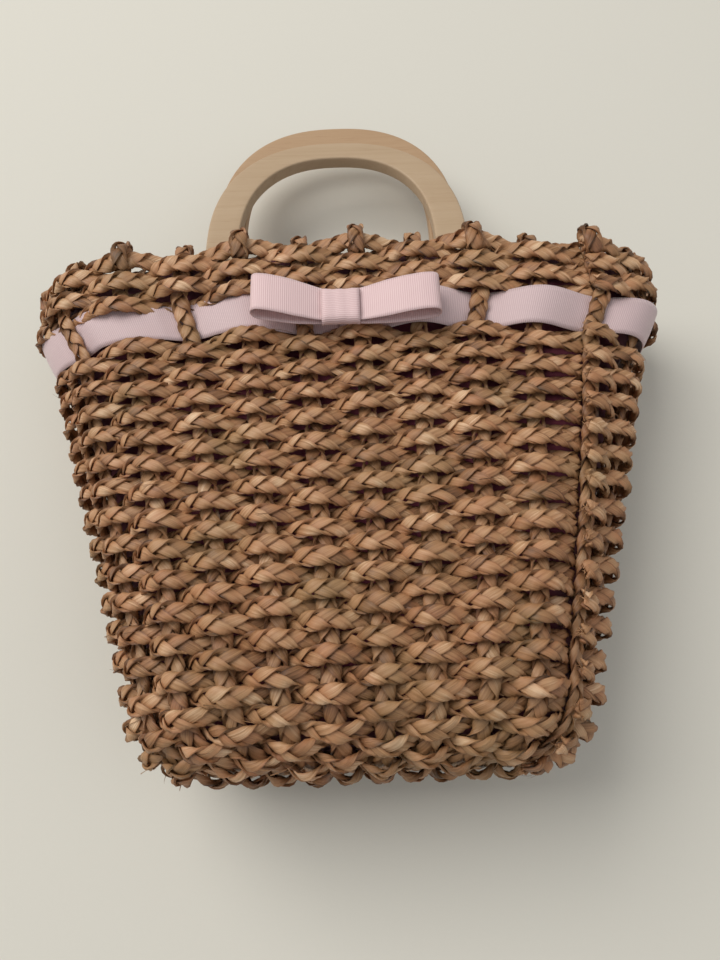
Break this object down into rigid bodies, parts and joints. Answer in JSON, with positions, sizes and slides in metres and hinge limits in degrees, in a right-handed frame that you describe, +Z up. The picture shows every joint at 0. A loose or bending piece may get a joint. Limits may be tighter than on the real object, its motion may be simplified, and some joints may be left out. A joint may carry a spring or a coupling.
{
  "type": "flower girl basket",
  "caption": "Tapered woven braid tote basket with a threaded ribbon and flat bow, cloth lining and two wooden D handles that swing at the rim.",
  "frame": {"origin": "centre of the base, on the floor it stands on", "axes": "+Z up to the rim, +X to the right seen from the bow side, -Y out of the bow side"},
  "size_m": [0.363, 0.1104, 0.4145],
  "materials": {
    "braid": "dry plaited plant fibre, matt with a slight sheen",
    "stake_braid": "dry plaited plant fibre, matt",
    "ribbon": "pale pink ribbed ribbon, soft sheen",
    "lining_cloth": "deep rose woven cloth, matt",
    "handle_wood": "pale sanded wood, satin"
  },
  "bodies": {
    "basket": {"bottom_row_01": "braid", "bottom_row_02": "braid", "bottom_row_03": "braid", "bottom_row_04": "braid", "bottom_row_05": "braid", "bottom_row_06": "braid", "bottom_row_07": "braid", "wall_row_01": "braid", "wall_row_02": "braid", "wall_row_03": "braid", "wall_row_04": "braid", "wall_row_05": "braid", "wall_row_06": "braid", "wall_row_07": "braid", "wall_row_08": "braid", "wall_row_09": "braid", "wall_row_10": "braid", "wall_row_11": "braid", "wall_row_12": "braid", "wall_row_13": "braid", "wall_row_14": "braid", "wall_row_15": "braid", "wall_row_16": "braid", "wall_row_17": "braid", "wall_row_18": "braid", "wall_row_19": "braid", "wall_row_20": "braid", "wall_row_21": "braid", "wall_row_22": "braid", "wall_row_23": "braid", "wall_row_24": "braid", "rim_row_01": "braid", "rim_row_02": "braid", "rim_row_03": "braid", "rim_row_04": "braid", "rim_row_05": "braid", "base_row": "braid", "cross_stake_01": "stake_braid", "cross_stake_02": "stake_braid", "cross_stake_03": "stake_braid", "cross_stake_04": "stake_braid", "cross_stake_05": "stake_braid", "cross_stake_06": "stake_braid", "cross_stake_07": "stake_braid", "cross_stake_08": "stake_braid", "cross_stake_09": "stake_braid", "cross_stake_10": "stake_braid", "long_stake_front": "stake_braid", "long_stake_back": "stake_braid", "ribbon_band": "ribbon", "bow_left_loop": "ribbon", "bow_right_loop": "ribbon", "bow_centre_wrap": "ribbon", "lining": "lining_cloth", "front_handle_sleeve": "lining_cloth", "back_handle_sleeve": "lining_cloth"},
    "front_handle": {"front_handle": "handle_wood"},
    "back_handle": {"back_handle": "handle_wood"}
  },
  "joints": [
    {"name": "front_handle_hinge", "type": "hinge", "parent": "basket", "child": "front_handle", "pos_m": [-0.006, -0.0135, 0.2505], "axis": [1, 0, 0], "range_deg": [-0.8, 18]},
    {"name": "back_handle_hinge", "type": "hinge", "parent": "basket", "child": "back_handle", "pos_m": [-0.006, 0.0135, 0.2775], "axis": [-1, 0, 0], "range_deg": [-0.8, 40]}
  ]
}
